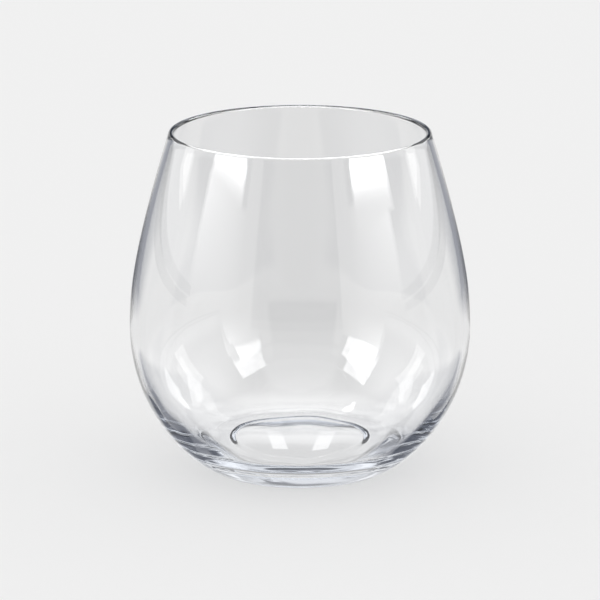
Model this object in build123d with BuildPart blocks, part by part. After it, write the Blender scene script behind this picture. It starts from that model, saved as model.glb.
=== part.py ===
from build123d import *
import os
from math import asin, cos, degrees, radians, sin

# A stemless wine glass: one piece of clear glass with an egg-shaped bowl that narrows to its mouth,
# a heavy bottom, and a flat standing ring around a shallow hollow underneath.
# Millimetres, +Z up. The origin is on the glass's axis, at the level of the surface it stands on.

# Outside
glass_height = 100.0
belly_diameter = 100.4
belly_height = 41.6
rim_diameter = 76.6
rim_lean = 17.0
ring_diameter = 55.0

# Inside: the wall runs into an arc at the corner, which runs into the flat floor
rim_thickness = 1.6
belly_wall = 2.1
floor_height = 6.4
floor_diameter = 50.0
corner_radius = 15.5
corner_slope = 48.0

# Hollow under the bottom, inside the standing ring: a low dome with a rounded edge
hollow_diameter = 43.8
hollow_edge_width = 3.0
hollow_edge_rise = 1.6
dome_rise = 0.8

# How far each curve keeps its end direction, as a share of the rise or reach of that curve
belly_fullness_above = 0.207
rim_straightness = 0.605
belly_fullness_below = 0.67
heel_flatness = 0.097
inside_belly_fullness = 0.48
inside_corner_fullness = 0.22
hollow_edge_fullness = 0.37

belly_radius = belly_diameter / 2
rim_radius = rim_diameter / 2
ring_radius = ring_diameter / 2
floor_radius = floor_diameter / 2
hollow_radius = hollow_diameter / 2
inside_belly_radius = belly_radius - belly_wall
lip_round = rim_thickness / 2

# The lip is a half circle across the wall, which leans inward there
lip_centre = Vector(rim_radius - lip_round, glass_height - lip_round)
along_wall = Vector(-sin(radians(rim_lean)), cos(radians(rim_lean)))
across_wall = Vector(cos(radians(rim_lean)), sin(radians(rim_lean)))
lip_outside = lip_centre + across_wall * lip_round
lip_top = lip_centre + along_wall * lip_round
lip_inside = lip_centre - across_wall * lip_round

# The dome of the hollow is part of a sphere
hollow_depth = hollow_edge_rise + dome_rise
dome_rim_radius = hollow_radius - hollow_edge_width
dome_sphere_radius = (dome_rim_radius**2 + dome_rise**2) / (2 * dome_rise)
dome_angle = degrees(asin(dome_rim_radius / dome_sphere_radius))


def wall_above(belly, lip):
    """Draws the wall from its upright widest point up to the lip, where it leans inward."""
    rise = lip.Y - belly.Y
    belly_end = belly + Vector(0, belly_fullness_above * rise)
    lip_end = lip - along_wall * rim_straightness * rise
    return Bezier(belly, belly_end, lip_end, lip)


with BuildPart() as glass_bowl:
    with BuildSketch(Plane.XZ):
        with BuildLine():
            # Underside: the dome of the hollow, its rounded edge, then the flat standing ring
            dome_centre = (0, hollow_depth - dome_sphere_radius)
            CenterArc(dome_centre, dome_sphere_radius, 90 - dome_angle, dome_angle)
            dome_rim = Vector(dome_rim_radius, hollow_edge_rise)
            edge_reach = hollow_edge_fullness * hollow_edge_width
            dome_fall = Vector(cos(radians(dome_angle)), -sin(radians(dome_angle)))
            ring_inside = Vector(hollow_radius, 0)
            Bezier(dome_rim, dome_rim + dome_fall * edge_reach, ring_inside - Vector(edge_reach, 0), ring_inside)
            ring_outside = Vector(ring_radius, 0)
            Line(ring_inside, ring_outside)

            # Outside, from the heel to the belly and up to the lip
            belly = Vector(belly_radius, belly_height)
            heel_end = ring_outside + Vector(heel_flatness * (belly_radius - ring_radius), 0)
            belly_low_end = Vector(belly_radius, belly_height * (1 - belly_fullness_below))
            Bezier(ring_outside, heel_end, belly_low_end, belly)
            wall_above(belly, lip_outside)
            ThreePointArc(lip_outside, lip_top, lip_inside)

            # Inside, from the lip down to the belly, round the corner and across the floor to the axis
            inside_belly = Vector(inside_belly_radius, belly_height)
            wall_above(inside_belly, lip_inside)
            corner_centre = Vector(floor_radius, floor_height + corner_radius)
            corner = CenterArc(corner_centre, corner_radius, -90, corner_slope)
            corner_top = corner @ 1
            reach = (inside_belly - corner_top).length
            inside_low_end = inside_belly - Vector(0, inside_belly_fullness * reach)
            corner_end = corner_top + (corner % 1) * inside_corner_fullness * reach
            Bezier(inside_belly, inside_low_end, corner_end, corner_top)
            Line((floor_radius, floor_height), (0, floor_height))
            Line((0, floor_height), (0, hollow_depth))
        make_face()
    revolve(axis=Axis.Z)

glass_bowl.part.label = "glass_bowl"

os.makedirs("parts", exist_ok=True)
export_step(glass_bowl.part, "parts/glass_bowl.step")
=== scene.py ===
"""Stemless wine glass: the looks of the part, in metres, in the same frame as its solids.

The glass is one turned body of clear glass. Its outline is worked out curve by curve and carried round the
axis. It stands on a pale table in a small studio of upright light boards, and is seen a little from above.
"""

import logging
import math
from dataclasses import dataclass, replace
from enum import Enum

import bpy
import numpy as np
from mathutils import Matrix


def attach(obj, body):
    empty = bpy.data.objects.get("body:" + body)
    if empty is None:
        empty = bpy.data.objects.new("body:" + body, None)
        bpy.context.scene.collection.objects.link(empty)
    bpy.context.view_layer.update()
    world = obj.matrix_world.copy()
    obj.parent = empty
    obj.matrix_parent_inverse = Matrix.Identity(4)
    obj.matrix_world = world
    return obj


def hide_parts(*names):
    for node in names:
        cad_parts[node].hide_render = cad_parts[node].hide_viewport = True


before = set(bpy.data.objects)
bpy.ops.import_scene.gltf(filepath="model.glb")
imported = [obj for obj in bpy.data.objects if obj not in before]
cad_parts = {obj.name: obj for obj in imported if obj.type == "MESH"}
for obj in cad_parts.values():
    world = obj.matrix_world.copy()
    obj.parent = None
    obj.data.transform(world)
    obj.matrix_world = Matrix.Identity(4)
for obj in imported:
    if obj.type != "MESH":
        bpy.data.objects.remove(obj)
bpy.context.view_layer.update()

LOG = logging.getLogger("wine_glass")

# Limits for Blender's counts of bounces, which are whole numbers
NO_BOUNCE = 0.5
ONE_BOUNCE = 1.5

# What the red of a cooled grey loses, as a share of what its blue gains
RED_LOSS = 1 / 3

Colour = tuple[float, float, float, float]
Span = tuple[float, float]
Band = tuple[float, float, float, float]
Value = bpy.types.NodeSocket | float


class Ease(Enum):
    """How a value goes from one end of a range to the other."""

    EVEN = "LINEAR"
    SOFT = "SMOOTHSTEP"


def grey(level: float) -> Colour:
    """Gives the neutral colour of one level."""
    return (level, level, level, 1.0)


class NodeBoard:
    """A node tree with short calls for the nodes that the finishes and the studio use."""

    def __init__(self, tree: bpy.types.NodeTree) -> None:
        """Empties the tree, so that it holds only what is put on this board."""
        self.tree = tree
        tree.nodes.clear()

    def add(self, kind: str, **inputs: Value | Colour) -> bpy.types.Node:
        """Puts a node on the board.

        Args:
            kind: Blender's name for the node.
            inputs: Its inputs by name, with spaces as underscores; a socket is joined, a value is set.

        Returns:
            The new node.
        """
        node = self.tree.nodes.new(kind)
        for name, value in inputs.items():
            self.put(value, node.inputs[name.replace("_", " ")])
        return node

    def put(self, value: Value | Colour, socket: bpy.types.NodeSocket) -> None:
        """Joins a socket to an input, or sets a plain value on it.

        Args:
            value: The socket or the value.
            socket: The input.
        """
        if isinstance(value, bpy.types.NodeSocket):
            self.tree.links.new(value, socket)
        else:
            socket.default_value = value

    def math(self, operation: str, *values: Value) -> bpy.types.NodeSocket:
        """Works out one sum.

        Args:
            operation: Blender's name for it.
            values: What goes into it, up to three.

        Returns:
            The result's socket.
        """
        node = self.tree.nodes.new("ShaderNodeMath")
        node.operation = operation
        for slot, value in enumerate(values):
            self.put(value, node.inputs[slot])
        return node.outputs[0]

    def product(self, first: Value, *others: Value) -> Value:
        """Multiplies values.

        Args:
            first: One of them.
            others: The rest.

        Returns:
            The result.
        """
        for other in others:
            first = self.math("MULTIPLY", first, other)
        return first

    def ramp(self, value: Value, start: tuple[float, Value], end: tuple[float, Value],
             ease: Ease = Ease.SOFT) -> bpy.types.NodeSocket:
        """Carries a value from one range to another and holds it at the ends.

        Args:
            value: What is carried.
            start: The value and the result at one end.
            end: The value and the result at the other end.
            ease: How the result goes from one to the other.

        Returns:
            The result's socket.
        """
        node = self.tree.nodes.new("ShaderNodeMapRange")
        node.interpolation_type = ease.value
        for slot, amount in enumerate((value, start[0], end[0], start[1], end[1])):
            self.put(amount, node.inputs[slot])
        return node.outputs[0]

    def rise(self, value: Value, ends: Span) -> bpy.types.NodeSocket:
        """Gives 0 before the first end, 1 after the second and a soft step between them."""
        return self.ramp(value, (ends[0], 0.0), (ends[1], 1.0))

    def fall(self, value: Value, ends: Span) -> bpy.types.NodeSocket:
        """Gives 1 before the first end, 0 after the second and a soft step between them."""
        return self.ramp(value, (ends[0], 1.0), (ends[1], 0.0))

    def band(self, value: Value, ends: Band) -> bpy.types.NodeSocket:
        """Gives 1 between the two middle ends, 0 past the outer ones, and soft steps between."""
        return self.product(self.rise(value, ends[:2]), self.fall(value, ends[2:]))

    def blend(self, share: Value, first: Value, second: Value) -> bpy.types.NodeSocket:
        """Blends two values: the first where the share is 0, the second where it is 1."""
        return self.ramp(share, (0.0, first), (1.0, second), Ease.EVEN)

    def cooled(self, value: Value, amount: Value) -> bpy.types.NodeSocket:
        """Turns a grey a little blue.

        Args:
            value: The grey.
            amount: What its blue gains. Its red loses a share of that.

        Returns:
            The colour's socket.
        """
        red = self.math("MULTIPLY_ADD", amount, -RED_LOSS, value)
        blue = self.math("ADD", value, amount)
        return self.add("ShaderNodeCombineColor", Red=red, Green=value, Blue=blue).outputs[0]

    def mix(self, share: Value, first: bpy.types.Node, second: bpy.types.Node) -> bpy.types.Node:
        """Mixes two shaders.

        Args:
            share: 0 for the first and 1 for the second.
            first: The first shader.
            second: The second shader.

        Returns:
            The mixed shader.
        """
        node = self.tree.nodes.new("ShaderNodeMixShader")
        for slot, part in enumerate((share, first.outputs[0], second.outputs[0])):
            self.put(part, node.inputs[slot])
        return node


@dataclass(frozen=True)
class ClearGlass:
    """Polished soda-lime glass: clear, a little cool where it is thick, with a blown wall's faint waves."""

    name: str = "clear_glass"
    refraction: float = 1.5
    tint: Colour = (0.72, 0.82, 0.96, 1.0)
    depth_of_tint: float = 4.5
    wave_scale: float = 22.0
    wave_detail: float = 1.0
    wave_height: float = 0.000012
    wipe_scale: float = 140.0
    wipe_detail: float = 3.0
    wipe_range: Span = (0.45, 0.8)
    polish: Span = (0.0, 0.012)

    def material(self) -> bpy.types.Material:
        """Builds the finish.

        Broad waves come from noise on Object coordinates and bend the surface by a few thousandths of a
        millimetre. A finer noise varies the polish. Colour comes only from the glass's depth.

        Returns:
            The new material.
        """
        material = bpy.data.materials.new(self.name)
        material.use_nodes = True
        board = NodeBoard(material.node_tree)
        place = board.add("ShaderNodeTexCoord").outputs["Object"]
        waves = board.add("ShaderNodeTexNoise", Vector=place, Scale=self.wave_scale, Detail=self.wave_detail)
        bump = board.add("ShaderNodeBump", Height=waves.outputs["Fac"], Strength=1.0,
                         Distance=self.wave_height)
        wipe = board.add("ShaderNodeTexNoise", Vector=place, Scale=self.wipe_scale, Detail=self.wipe_detail)
        polish = board.ramp(wipe.outputs["Fac"], *zip(self.wipe_range, self.polish))
        glass = board.add("ShaderNodeBsdfPrincipled", Roughness=polish, Normal=bump.outputs["Normal"])
        glass.inputs["Base Color"].default_value = grey(1.0)
        glass.inputs["IOR"].default_value = self.refraction
        glass.inputs["Transmission Weight"].default_value = 1.0
        depth = board.add("ShaderNodeVolumeAbsorption", Color=self.tint, Density=self.depth_of_tint)
        board.add("ShaderNodeOutputMaterial", Surface=glass.outputs[0], Volume=depth.outputs[0])
        return material


def cubic(start: np.ndarray, lead: np.ndarray, trail: np.ndarray, end: np.ndarray, count: int) -> np.ndarray:
    """Samples a cubic curve.

    A point is the sum of the four control points, weighted by (1-t)^3, 3t(1-t)^2, 3t^2(1-t) and t^3, for t
    from 0 to 1 in even steps.

    Args:
        start: The first point, as radius and height.
        lead: Where the curve heads at first.
        trail: Where it comes from at last.
        end: The last point.
        count: How many points to give.

    Returns:
        The points, one per row.
    """
    t = np.linspace(0.0, 1.0, count)[:, None]
    s = 1.0 - t
    return s**3 * start + 3 * t * s**2 * lead + 3 * t**2 * s * trail + t**3 * end


def point(radius: float, height: float) -> np.ndarray:
    """Gives a point of the outline."""
    return np.array([radius, height])


@dataclass(frozen=True)
class Steps:
    """How many points each stretch of the outline has, and how many columns go round the axis."""

    dome: int = 40
    hollow_edge: int = 36
    ring: int = 8
    heel: int = 84
    wall: int = 56
    lip: int = 26
    lower_wall: int = 56
    corner: int = 36
    floor: int = 28
    around: int = 240


@dataclass
class GlassBowl:
    """The glass itself: an egg-shaped bowl on a heavy bottom with a standing ring around a hollow."""

    finish: ClearGlass
    name: str = "glass_body"
    node: str = "glass_bowl"
    height: float = 0.100
    belly_radius: float = 0.0502
    belly_height: float = 0.0416
    rim_radius: float = 0.0383
    rim_lean: float = 17.0
    ring_radius: float = 0.0275
    lip_thickness: float = 0.0016
    belly_wall: float = 0.0021
    floor_height: float = 0.0064
    floor_radius: float = 0.0250
    corner_radius: float = 0.0155
    corner_slope: float = 48.0
    hollow_radius: float = 0.0219
    hollow_edge_width: float = 0.0030
    hollow_edge_rise: float = 0.0016
    dome_rise: float = 0.0008
    belly_fullness_above: float = 0.207
    rim_straightness: float = 0.605
    belly_fullness_below: float = 0.67
    heel_flatness: float = 0.097
    inside_belly_fullness: float = 0.48
    inside_corner_fullness: float = 0.22
    hollow_edge_fullness: float = 0.37
    ripple_height: float = 0.00007
    ripple_radii: Span = (0.018, 0.024)
    ripple_heights: Span = (0.018, 0.034)
    ripple_counts: tuple[int, ...] = (7, 12, 19)
    ripple_twist: float = 260.0
    steps: Steps = Steps()

    def wall_above(self, belly: np.ndarray, lip: np.ndarray) -> np.ndarray:
        """Draws the wall, as a cubic curve, from its upright widest point to the lip, where it leans inward.

        Args:
            belly: The widest point.
            lip: Where the lip's round begins.

        Returns:
            The wall's points.
        """
        rise = lip[1] - belly[1]
        lean = math.radians(self.rim_lean)
        along = point(-math.sin(lean), math.cos(lean))
        lead = belly + point(0.0, self.belly_fullness_above * rise)
        return cubic(belly, lead, lip - along * self.rim_straightness * rise, lip, self.steps.wall)

    def underside(self) -> np.ndarray:
        """Draws the hollow's low dome, part of a sphere, then its steep rounded edge and the flat ring.

        Returns:
            The underside's points, from the axis outward.
        """
        dome_radius = self.hollow_radius - self.hollow_edge_width
        sphere = (dome_radius**2 + self.dome_rise**2) / (2 * self.dome_rise)
        radius = np.linspace(0.0, dome_radius, self.steps.dome)
        height = np.sqrt(sphere**2 - radius**2) - sphere + self.hollow_edge_rise + self.dome_rise
        dome = np.stack([radius, height], axis=1)
        reach = self.hollow_edge_fullness * self.hollow_edge_width
        fall = -dome_radius / math.sqrt(sphere**2 - dome_radius**2)
        edge = cubic(dome[-1], dome[-1] + point(reach, fall * reach), point(self.hollow_radius - reach, 0.0),
                     point(self.hollow_radius, 0.0), self.steps.hollow_edge)
        ring_radii = np.linspace(self.hollow_radius, self.ring_radius, self.steps.ring)
        ring = np.stack([ring_radii, np.zeros_like(ring_radii)], axis=1)
        return np.vstack([dome, edge[1:], ring[1:]])

    def outside(self, lip: np.ndarray) -> np.ndarray:
        """Draws the outside from the ring's edge round the heel to the belly and up to the lip.

        Args:
            lip: Where the lip's round begins outside.

        Returns:
            The outside's points, without the one on the ring's edge.
        """
        belly = point(self.belly_radius, self.belly_height)
        heel = point(self.ring_radius, 0.0)
        heel_lead = heel + point(self.heel_flatness * (self.belly_radius - self.ring_radius), 0.0)
        belly_trail = point(self.belly_radius, self.belly_height * (1 - self.belly_fullness_below))
        below = cubic(heel, heel_lead, belly_trail, belly, self.steps.heel)
        return np.vstack([below[1:], self.wall_above(belly, lip)[1:]])

    def inside(self, lip: np.ndarray) -> np.ndarray:
        """Draws the inside from the lip down the wall, round the corner's arc and over the floor to the axis.

        Args:
            lip: Where the lip's round ends inside.

        Returns:
            The inside's points.
        """
        belly = point(self.belly_radius - self.belly_wall, self.belly_height)
        slope = math.radians(self.corner_slope)
        turn = np.linspace(slope, 0.0, self.steps.corner)[:, None]
        corner = np.hstack([self.floor_radius + self.corner_radius * np.sin(turn),
                            self.floor_height + self.corner_radius * (1 - np.cos(turn))])
        reach = np.linalg.norm(belly - corner[0])
        drop = belly - point(0.0, self.inside_belly_fullness * reach)
        climb = point(math.cos(slope), math.sin(slope)) * self.inside_corner_fullness * reach
        below = cubic(belly, drop, corner[0] + climb, corner[0], self.steps.lower_wall)
        radius = np.linspace(self.floor_radius, 0.0, self.steps.floor)
        floor = np.stack([radius, np.full_like(radius, self.floor_height)], axis=1)
        return np.vstack([self.wall_above(belly, lip)[::-1], below[1:], corner[1:], floor[1:]])

    def outline(self) -> np.ndarray:
        """Joins the glass's whole outline, from the axis underneath, over the lip, to the axis inside.

        The lip is a half circle across the leaning wall: its centre plus the lip's half thickness, turned
        from the outside over the top to the inside.

        Returns:
            The outline's points, as radius and height.
        """
        half = self.lip_thickness / 2
        lean = math.radians(self.rim_lean)
        centre = point(self.rim_radius - half, self.height - half)
        across = point(math.cos(lean), math.sin(lean)) * half
        along = point(-math.sin(lean), math.cos(lean)) * half
        turn = np.linspace(0.0, math.pi, self.steps.lip)[:, None]
        lip = centre + np.cos(turn) * across + np.sin(turn) * along
        return np.vstack([self.underside(), self.outside(lip[0]), lip[1:], self.inside(lip[-1])[1:]])

    def ripple(self, outline: np.ndarray, angle: np.ndarray) -> np.ndarray:
        """Works out the faint ripples round the inside corner.

        A ripple is the mean of a few cosines of whole counts round the axis. Each starts at an angle of its
        own, the count squared, and turns with height, even counts one way and odd counts the other. The
        ripple is full between the floor's edge and the lower wall. It fades toward the middle and up the
        wall.

        Args:
            outline: The outline's points.
            angle: The columns' angles.

        Returns:
            How far each point moves across the surface, one row per outline point.
        """
        inner, full = self.ripple_radii
        low, high = self.ripple_heights
        radius, height = outline[:, :1], outline[:, 1:]
        inside = np.arange(len(outline))[:, None] > np.argmax(outline[:, 1])
        outward = np.clip((radius - inner) / (full - inner), 0.0, 1.0)
        downward = np.clip((high - height) / (high - low), 0.0, 1.0)
        waves = [np.cos(count * angle + count**2 + self.ripple_twist * height * (-1) ** count)
                 for count in self.ripple_counts]
        return self.ripple_height * inside * outward * downward * np.mean(waves, axis=0)

    def build(self) -> bpy.types.Object:
        """Turns the outline round the axis and puts the piece in the frame.

        The vertex of row i and column j is (r cos a_j, r sin a_j, z), with r and z from the outline's row i,
        moved across the outline by the ripple there, and a_j in even steps round the axis. Neighbouring rows
        and columns make the faces, and a fan closes each end on the axis.

        Returns:
            The finished piece.
        """
        outline = self.outline()
        rows, columns = len(outline) - 2, self.steps.around
        angle = np.linspace(0.0, 2 * math.pi, columns, endpoint=False)
        run = np.gradient(outline, axis=0)
        across = np.stack([run[:, 1], -run[:, 0]], axis=1) / np.linalg.norm(run, axis=1, keepdims=True)
        shift = self.ripple(outline, angle)
        radius = (outline[:, :1] + across[:, :1] * shift)[1:-1]
        height = (outline[:, 1:] + across[:, 1:] * shift)[1:-1]
        grid = np.stack([radius * np.cos(angle), radius * np.sin(angle), height], axis=-1).reshape(-1, 3)
        poles = np.array([[0.0, 0.0, outline[0, 1]], [0.0, 0.0, outline[-1, 1]]])
        row, column = np.meshgrid(np.arange(rows - 1), np.arange(columns), indexing="ij")
        onward = (column + 1) % columns
        quads = np.stack([row * columns + column, row * columns + onward,
                          (row + 1) * columns + onward, (row + 1) * columns + column], axis=-1).reshape(-1, 4)
        first = np.arange(columns)
        follow = (first + 1) % columns
        last_row = (rows - 1) * columns
        under = np.stack([np.full(columns, rows * columns), follow, first], axis=1)
        over = np.stack([np.full(columns, rows * columns + 1), last_row + first, last_row + follow], axis=1)
        mesh = bpy.data.meshes.new(self.name)
        mesh.from_pydata(np.vstack([grid, poles]), [], quads.tolist() + under.tolist() + over.tolist())
        mesh.shade_smooth()
        mesh.materials.append(self.finish.material())
        piece = bpy.data.objects.new(self.name, mesh)
        bpy.context.scene.collection.objects.link(piece)
        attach(piece, "root")
        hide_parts(self.node)
        return piece


@dataclass(frozen=True)
class Zone:
    """A part of the room that shows in the glass, alike on both sides: bearings and elevations in degrees."""

    near: float
    far: float
    foot: float
    top: float
    light: float
    edge: float = 3.0

    def glow(self, board: NodeBoard, turn: bpy.types.NodeSocket,
             elevation: bpy.types.NodeSocket) -> bpy.types.NodeSocket:
        """Gives the zone's light: even inside its soft edges and none outside.

        Args:
            board: The world's board.
            turn: Degrees from the camera's side of the glass, to either side.
            elevation: Degrees above the floor.

        Returns:
            The light that comes from that direction.
        """
        sides = ((turn, self.near, self.far), (elevation, self.foot, self.top))
        inside = [board.band(value, (low - self.edge, low + self.edge, high - self.edge, high + self.edge))
                  for value, low, high in sides]
        return board.product(self.light, *inside)


def glass_glow(name: str, mirror_reach: float | None = None,
               ) -> tuple[bpy.types.Material, NodeBoard, bpy.types.Node]:
    """Starts the finish of a lamp that shows only in the glass.

    It shows after one mirror bounce at most, and not after a matt one. Elsewhere it lets light through.

    Args:
        name: The finish's name.
        mirror_reach: For a lamp that shows only in a mirror bounce, from how far it shows.

    Returns:
        The finish, its board, and the glowing node, whose strength is still to be set.
    """
    material = bpy.data.materials.new(name)
    material.use_nodes = True
    material.cycles.emission_sampling = "NONE"
    board = NodeBoard(material.node_tree)
    path = board.add("ShaderNodeLightPath").outputs
    shown = board.product(board.math("LESS_THAN", path["Diffuse Depth"], NO_BOUNCE),
                          board.math("LESS_THAN", path["Glossy Depth"], ONE_BOUNCE))
    if mirror_reach is not None:
        shown = board.product(shown, board.math("LESS_THAN", path["Ray Length"], mirror_reach),
                              board.math("SUBTRACT", 1.0, path["Is Transmission Ray"]))
    glow = board.add("ShaderNodeEmission")
    surface = board.mix(shown, board.add("ShaderNodeBsdfTransparent"), glow)
    board.add("ShaderNodeOutputMaterial", Surface=surface.outputs[0])
    return material, board, glow


def lamp(name: str, corners: np.ndarray, faces: list[list[int]],
         finish: bpy.types.Material) -> bpy.types.Object:
    """Puts a lamp's mesh in the scene, hidden from the camera and from matt things.

    Args:
        name: The lamp's name.
        corners: Its corners, one per row.
        faces: Its faces, as rows of corners.
        finish: Its glow.

    Returns:
        The lamp.
    """
    mesh = bpy.data.meshes.new(name)
    mesh.from_pydata(corners, [], faces)
    mesh.materials.append(finish)
    piece = bpy.data.objects.new(name, mesh)
    piece.visible_camera = False
    piece.visible_diffuse = False
    piece.visible_shadow = False
    bpy.context.scene.collection.objects.link(piece)
    return piece


@dataclass(frozen=True)
class Gain:
    """Extra light on a board: none below its start, climbing with height, and all of it above its end."""

    start: float
    end: float
    amount: float

    def at(self, board: NodeBoard, height: Value, ease: Ease) -> bpy.types.NodeSocket:
        """Gives the extra light at a height."""
        return board.ramp(height, (self.start, 0.0), (self.end, self.amount), ease)


@dataclass(frozen=True)
class LightBoard:
    """An upright diffuser, evenly lit unless it has a gain toward its far end or soft rises with height."""

    name: str
    near_end: Span
    far_end: Span
    foot: float
    top: float
    light: float
    far_gain: Gain = Gain(0.0, 1.0, 0.0)
    rises: tuple[Gain, ...] = ()
    slope: float = 0.0

    def pair(self) -> tuple["LightBoard", "LightBoard"]:
        """Makes two boards of one that stands on the right: itself and its mirror image on the left.

        Returns:
            The right and the left board.
        """
        (near_x, near_y), (far_x, far_y) = self.near_end, self.far_end
        left = replace(self, name=f"{self.name}_left", near_end=(-near_x, near_y), far_end=(-far_x, far_y))
        return replace(self, name=f"{self.name}_right"), left

    def build(self) -> bpy.types.Object:
        """Stands the board up: one upright face between its two ends.

        Returns:
            The board.
        """
        corners = [(*self.near_end, self.foot), (*self.far_end, self.foot),
                   (*self.far_end, self.top), (*self.near_end, self.top)]
        return lamp(self.name, np.array(corners), [[0, 1, 2, 3]], self.glow())

    def glow(self) -> bpy.types.Material:
        """Makes the board's light.

        A count runs along the board, from 0 at the near end to 1 at the far end. The far gain climbs evenly
        and is multiplied by the count. Each rise climbs softly, and its heights lie lower by the slope times
        the count.

        Returns:
            The finish.
        """
        material, board, glow = glass_glow(self.name)
        place = board.add("ShaderNodeSeparateXYZ", Vector=board.add("ShaderNodeTexCoord").outputs["Object"])
        along = board.ramp(place.outputs["Y"], (self.near_end[1], 0.0), (self.far_end[1], 1.0), Ease.EVEN)
        far_gain = self.far_gain.at(board, place.outputs["Z"], Ease.EVEN)
        light = board.math("MULTIPLY_ADD", far_gain, along, self.light)
        height = board.math("MULTIPLY_ADD", along, self.slope, place.outputs["Z"])
        for rise in self.rises:
            light = board.math("ADD", rise.at(board, height, Ease.SOFT), light)
        board.put(light, glow.inputs["Strength"])
        return material


@dataclass(frozen=True)
class RingLamp:
    """A flat ring of light just above the mouth, for a white line along the lip."""

    name: str = "ring_lamp"
    inner: float = 0.018
    outer: float = 0.038
    height: float = 0.112
    light: float = 9.0
    reach: float = 0.035
    corners: int = 96

    def build(self) -> bpy.types.Object:
        """Hangs the ring up: two circles of corners in even steps, joined by faces.

        Returns:
            The ring.
        """
        angle = np.linspace(0.0, 2 * math.pi, self.corners, endpoint=False)
        circle = np.stack([np.cos(angle), np.sin(angle), np.zeros(self.corners)], axis=1)
        rise = np.array([0.0, 0.0, self.height])
        first = np.arange(self.corners)
        follow = (first + 1) % self.corners
        faces = np.stack([first, follow, follow + self.corners, first + self.corners], axis=1)
        material, board, glow = glass_glow(self.name, self.reach)
        board.put(self.light, glow.inputs["Strength"])
        circles = np.vstack([circle * self.inner + rise, circle * self.outer + rise])
        return lamp(self.name, circles, faces.tolist(), material)


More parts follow.
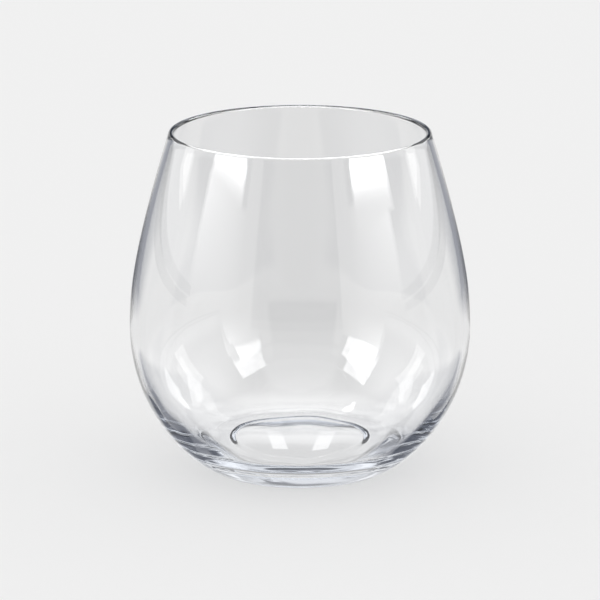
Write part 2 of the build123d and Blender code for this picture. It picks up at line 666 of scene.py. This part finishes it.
@dataclass
class Studio:
    """The room: pale to the eye, a white dome to matt things, and a dark room with lights to the glass."""

    beside: Zone = Zone(near=38.0, far=64.0, foot=-9.0, top=9.0, light=0.6)
    sides: Zone = Zone(near=64.0, far=100.0, foot=-9.0, top=9.0, light=0.9)
    sweep: Zone = Zone(near=100.0, far=200.0, foot=-9.0, top=8.5, light=0.85, edge=1.5)
    back_card: Zone = Zone(near=153.0, far=200.0, foot=17.0, top=32.0, light=0.68, edge=1.5)
    back_wings: Zone = Zone(near=134.0, far=153.0, foot=17.0, top=46.0, light=1.0)
    canopy: Zone = Zone(near=-20.0, far=38.0, foot=35.0, top=110.0, light=0.65)
    overhead: Zone = Zone(near=-20.0, far=200.0, foot=58.0, top=110.0, light=1.1, edge=8.0)
    boards: tuple[LightBoard, ...] = (
        LightBoard("board_right", near_end=(0.119, -0.168), far_end=(0.192, -0.082), foot=0.0, top=0.135,
                   light=0.8, far_gain=Gain(0.050, 0.130, 2.2)),
        LightBoard("board_left", near_end=(-0.138, -0.170), far_end=(-0.195, -0.0575), foot=0.0, top=0.135,
                   light=0.8, far_gain=Gain(0.050, 0.130, 2.2)),
        LightBoard("wing_right", near_end=(0.0934, -0.198), far_end=(0.119, -0.168), foot=0.0, top=0.185,
                   light=0.7),
        LightBoard("wing_left", near_end=(-0.118, -0.209), far_end=(-0.138, -0.170), foot=0.0, top=0.185,
                   light=0.7),
        LightBoard("panel_right", near_end=(0.092, -0.117), far_end=(0.126, -0.053), foot=0.104, top=0.160,
                   light=1.3, far_gain=Gain(0.080, 0.130, 1.5),
                   rises=(Gain(0.114, 0.126, 2.0), Gain(0.120, 0.132, 4.0)), slope=0.008),
        LightBoard("panel_left", near_end=(-0.197, -0.204), far_end=(-0.242, -0.070), foot=0.135, top=0.275,
                   light=1.3, far_gain=Gain(0.110, 0.160, 1.5),
                   rises=(Gain(0.150, 0.172, 2.0), Gain(0.160, 0.180, 4.0)), slope=0.014))
    pairs: tuple[LightBoard, ...] = (
        LightBoard("strip", near_end=(1.169, 0.270), far_end=(1.088, 0.507), foot=0.190, top=0.780,
                   light=2.2),
        LightBoard("high_strip", near_end=(1.088, 0.507), far_end=(0.771, 0.919), foot=0.510, top=0.780,
                   light=2.2),
        LightBoard("low_strip", near_end=(0.863, 0.834), far_end=(0.600, 1.039), foot=0.126, top=0.344,
                   light=3.0))
    ring: RingLamp = RingLamp()
    backdrop: float = 0.875
    dim: float = 0.07
    cool: float = 0.02
    ground: float = 0.74
    ground_turn: Span = (140.0, 165.0)
    horizon: Span = (-0.5, 0.0)
    dome: float = 1.0
    shadow: float = 0.78

    def scenery(self, board: NodeBoard) -> bpy.types.NodeSocket:
        """Works out what the glass shows of the room, from the direction alone.

        A dark room holds zones of even light with soft edges. Below the horizon it is grey behind the glass
        and dark elsewhere.

        Args:
            board: The world's board.

        Returns:
            The light from each direction.
        """
        way = board.add("ShaderNodeSeparateXYZ", Vector=board.add("ShaderNodeTexCoord").outputs["Generated"])
        across, away, up = way.outputs
        radians = board.math("ARCTAN2", across, board.product(away, -1.0))
        turn = board.math("ABSOLUTE", board.product(radians, math.degrees(1.0)))
        elevation = board.product(board.math("ARCSINE", up), math.degrees(1.0))
        total = self.dim
        for zone in (self.beside, self.sides, self.sweep, self.back_card, self.back_wings, self.canopy,
                     self.overhead):
            total = board.math("ADD", zone.glow(board, turn, elevation), total)
        floor = board.ramp(turn, (self.ground_turn[0], self.dim), (self.ground_turn[1], self.ground))
        above = board.product(total, board.rise(elevation, self.horizon))
        below = board.product(floor, board.fall(elevation, self.horizon))
        return board.cooled(board.math("ADD", above, below), self.cool)

    def build(self) -> bpy.types.World:
        """Puts the studio round the scene.

        The glass shows the scenery. Matt things get the even dome instead, dimmed where its light comes
        through the glass, which makes the glass's shadow.

        Returns:
            The new world.
        """
        world = bpy.data.worlds.new("studio")
        world.use_nodes = True
        board = NodeBoard(world.node_tree)
        path = board.add("ShaderNodeLightPath").outputs
        through = path["Is Transmission Ray"]
        shown = board.product(board.math("MAXIMUM", path["Is Glossy Ray"], through),
                              board.math("LESS_THAN", path["Diffuse Depth"], NO_BOUNCE))
        dome = board.add("ShaderNodeBackground", Color=board.blend(through, self.dome, self.shadow))
        scenery = board.add("ShaderNodeBackground", Color=self.scenery(board))
        pale = board.add("ShaderNodeBackground", Color=grey(self.backdrop))
        seen = board.mix(path["Is Camera Ray"], board.mix(shown, dome, scenery), pale)
        board.add("ShaderNodeOutputWorld", Surface=seen.outputs[0])
        bpy.context.scene.world = world
        strips = [strip for right in self.pairs for strip in right.pair()]
        for light in (*self.boards, *strips, self.ring):
            LOG.info("stage %s", light.build().name)
        return world


@dataclass(frozen=True)
class Place:
    """A place on the table, as sockets: off the view's line, away from the camera, and out from the axis."""

    side: bpy.types.NodeSocket
    away: bpy.types.NodeSocket
    out: bpy.types.NodeSocket


@dataclass
class Table:
    """The pale surface the glass stands on. In the glass it glows in tones with painted light and shade."""

    radius: float = 1.5
    below: float = 0.0002
    shade: float = 0.875
    far_in_glass: float = 0.74
    # Painted light: the paper's tones to the sides and near the glass.
    side_painted_light: float = 0.79
    near_painted_light: float = 0.96
    pool_in_glass: float = 1.12
    # Tone of the painted shade.
    painted_shade_in_glass: float = 0.34
    front_in_glass: float = 0.55
    # Tone of the painted contact shadow.
    contact_shadow_in_glass: float = 0.30
    # Blue that the painted shade gains.
    cool: float = 0.035
    middle_side: Span = (0.012, 0.036)
    side_near: Span = (0.055, 0.170)
    middle_near: Band = (-0.010, 0.005, 0.030, 0.065)
    front: Span = (-0.60, -0.25)
    patch_start: float = 0.040
    patch_spread: float = 0.9
    patch_least: float = 0.027
    patch_edge: Span = (-0.005, 0.005)
    patch_end: Span = (0.110, 0.130)
    patch_along: Band = (-0.075, -0.060, 0.070, 0.090)
    sector: Band = (17.0, 23.0, 46.0, 56.0)
    sector_start: Span = (0.200, 0.260)
    pool_middle: float = 0.0072
    pool_lean: float = 0.12
    pool_side: Span = (0.0022, 0.0030)
    pool_along: Band = (-0.010, -0.008, 0.011, 0.013)
    contact_shadow_ring: Band = (0.0245, 0.0268, 0.0268, 0.0290)
    contact_shadow_front: Span = (-0.016, -0.006)
    corners: int = 128

    def build(self) -> bpy.types.Object:
        """Lays the surface: a disc whose corners lie in even steps round the axis.

        Returns:
            The surface.
        """
        angle = np.linspace(0.0, 2 * math.pi, self.corners, endpoint=False)
        level = np.full(self.corners, -self.below)
        edge = np.stack([self.radius * np.cos(angle), self.radius * np.sin(angle), level], axis=1)
        mesh = bpy.data.meshes.new("table")
        mesh.from_pydata(edge, [], [list(range(self.corners))])
        mesh.materials.append(self.matt())
        table = bpy.data.objects.new("table", mesh)
        bpy.context.scene.collection.objects.link(table)
        return table

    def matt(self) -> bpy.types.Material:
        """Makes the finish: matt and pale to the eye, and in the glass a glow that paints light and shade.

        Returns:
            The finish.
        """
        material = bpy.data.materials.new("table_matt_painted_light")
        material.use_nodes = True
        material.cycles.emission_sampling = "NONE"
        board = NodeBoard(material.node_tree)
        seen = board.add("ShaderNodeLightPath").outputs["Is Camera Ray"]
        open_shade = board.add("ShaderNodeBsdfDiffuse", Color=grey(self.shade))
        # In the glass the table glows with painted light and shade instead of being lit.
        painted_glow = board.add("ShaderNodeEmission", Color=self.tone(board))
        board.add("ShaderNodeOutputMaterial", Surface=board.mix(seen, painted_glow, open_shade).outputs[0])
        return material

    def tone(self, board: NodeBoard) -> bpy.types.NodeSocket:
        """Works out the tone in the glass: the paper, then painted shade, light pools and contact shadow over
        it.

        Args:
            board: The finish's board.

        Returns:
            The tone's colour.
        """
        spot = board.add("ShaderNodeSeparateXYZ", Vector=board.add("ShaderNodeTexCoord").outputs["Object"])
        side, away = board.math("ABSOLUTE", spot.outputs["X"]), spot.outputs["Y"]
        out = board.math("SQRT", board.math("ADD", board.product(side, side), board.product(away, away)))
        at = Place(side, away, out)
        # Where shade is painted: a painted shadow beside the glass and two dark sectors far behind it.
        dark = self.dark(board, at)
        tone = board.blend(dark, self.paper(board, at), self.painted_shade_in_glass)
        # Painted pools of light under the glass.
        tone = board.blend(self.pool(board, at), tone, self.pool_in_glass)
        # A painted contact shadow along the front of the line where the glass stands.
        tone = board.blend(self.contact(board, at), tone, self.contact_shadow_in_glass)
        # The painted shade is turned a little blue.
        return board.cooled(tone, board.product(dark, self.cool))

    def paper(self, board: NodeBoard, at: Place) -> bpy.types.NodeSocket:
        """Works out the pale part: grey far away, darker far in front, with painted light paler to the sides
        and palest near.

        Args:
            board: The finish's board.
            at: The place.

        Returns:
            The paper's tone.
        """
        # Paler to the sides and palest near the glass: painted light.
        to_side = board.rise(at.side, self.middle_side)
        beside = board.product(to_side, board.fall(at.out, self.side_near))
        near = board.math("MAXIMUM", beside, board.band(at.away, self.middle_near))
        behind = board.blend(to_side, self.far_in_glass, self.side_painted_light)
        far = board.blend(board.rise(at.away, self.front), self.front_in_glass, behind)
        return board.blend(near, far, self.near_painted_light)

    def dark(self, board: NodeBoard, at: Place) -> bpy.types.NodeSocket:
        """Works out where shade is painted: patches beside the glass, a painted shadow, and two sectors far
        behind it.

        The patches lie past an edge that spreads with the distance from the camera. All of it shows only
        after a mirror bounce, most of all inside the thick glass, so that the view through the glass stays
        clear.

        Args:
            board: The finish's board.
            at: The place.

        Returns:
            1 where shade is painted and 0 elsewhere.
        """
        edge = board.math("MULTIPLY_ADD", at.away, self.patch_spread, self.patch_start)
        past_edge = board.math("SUBTRACT", at.side, board.math("MAXIMUM", edge, self.patch_least))
        patch = board.product(board.rise(past_edge, self.patch_edge), board.fall(at.side, self.patch_end),
                              board.band(at.away, self.patch_along))
        turn = board.product(board.math("ARCTAN2", at.side, at.away), math.degrees(1.0))
        sector = board.product(board.band(turn, self.sector), board.rise(at.out, self.sector_start))
        mirrors = board.add("ShaderNodeLightPath").outputs["Glossy Depth"]
        return board.product(board.math("MAXIMUM", patch, sector),
                             board.math("GREATER_THAN", mirrors, NO_BOUNCE))

    def pool(self, board: NodeBoard, at: Place) -> bpy.types.NodeSocket:
        """Works out the two slanting pools of light under the glass.

        Args:
            board: The finish's board.
            at: The place.

        Returns:
            1 in a pool and 0 elsewhere.
        """
        middle = board.math("MULTIPLY_ADD", at.away, self.pool_lean, self.pool_middle)
        off_middle = board.math("ABSOLUTE", board.math("SUBTRACT", at.side, middle))
        return board.product(board.fall(off_middle, self.pool_side), board.band(at.away, self.pool_along))

    def contact(self, board: NodeBoard, at: Place) -> bpy.types.NodeSocket:
        """Gives 1 on the front of the line where the glass stands, where a contact shadow is painted, and 0
        elsewhere.
        """
        return board.product(board.band(at.out, self.contact_shadow_ring), board.fall(at.away, self.contact_shadow_front))


@dataclass
class PhotoCamera:
    """The camera: in front of the glass, above it and looking down a little."""

    distance: float = 0.9
    height: float = 0.2899
    pitch: float = 14.983
    lens: float = 189.65
    sensor: float = 36.0

    def build(self) -> bpy.types.Object:
        """Sets the camera up and makes it the scene's own.

        Returns:
            The camera.
        """
        camera = bpy.data.objects.new("camera", bpy.data.cameras.new("camera"))
        camera.data.lens = self.lens
        camera.data.sensor_width = self.sensor
        camera.location = (0.0, -self.distance, self.height)
        camera.rotation_euler = (math.radians(90.0 - self.pitch), 0.0, 0.0)
        bpy.context.scene.collection.objects.link(camera)
        bpy.context.scene.camera = camera
        return camera


@dataclass
class Picture:
    """How the scene is rendered: plain tones, and enough bounces for thick glass."""

    bounces: int = 32

    def apply(self) -> None:
        """Sets the view and the light paths."""
        scene = bpy.context.scene
        scene.view_settings.view_transform = "Standard"
        scene.cycles.max_bounces = self.bounces
        scene.cycles.transmission_bounces = self.bounces
        scene.cycles.glossy_bounces = self.bounces
        scene.cycles.blur_glossy = 0.0


def main() -> None:
    """Builds the scene's parts in order and reports each."""
    logging.basicConfig(level=logging.INFO, format="%(name)s: %(message)s")
    Picture().apply()
    LOG.info("camera %s", PhotoCamera().build().name)
    LOG.info("world %s", Studio().build().name)
    LOG.info("stage %s", Table().build().name)
    bowl = GlassBowl(finish=ClearGlass()).build()
    LOG.info("piece %s: %d faces", bowl.name, len(bowl.data.polygons))


if __name__ == "__main__":
    main()
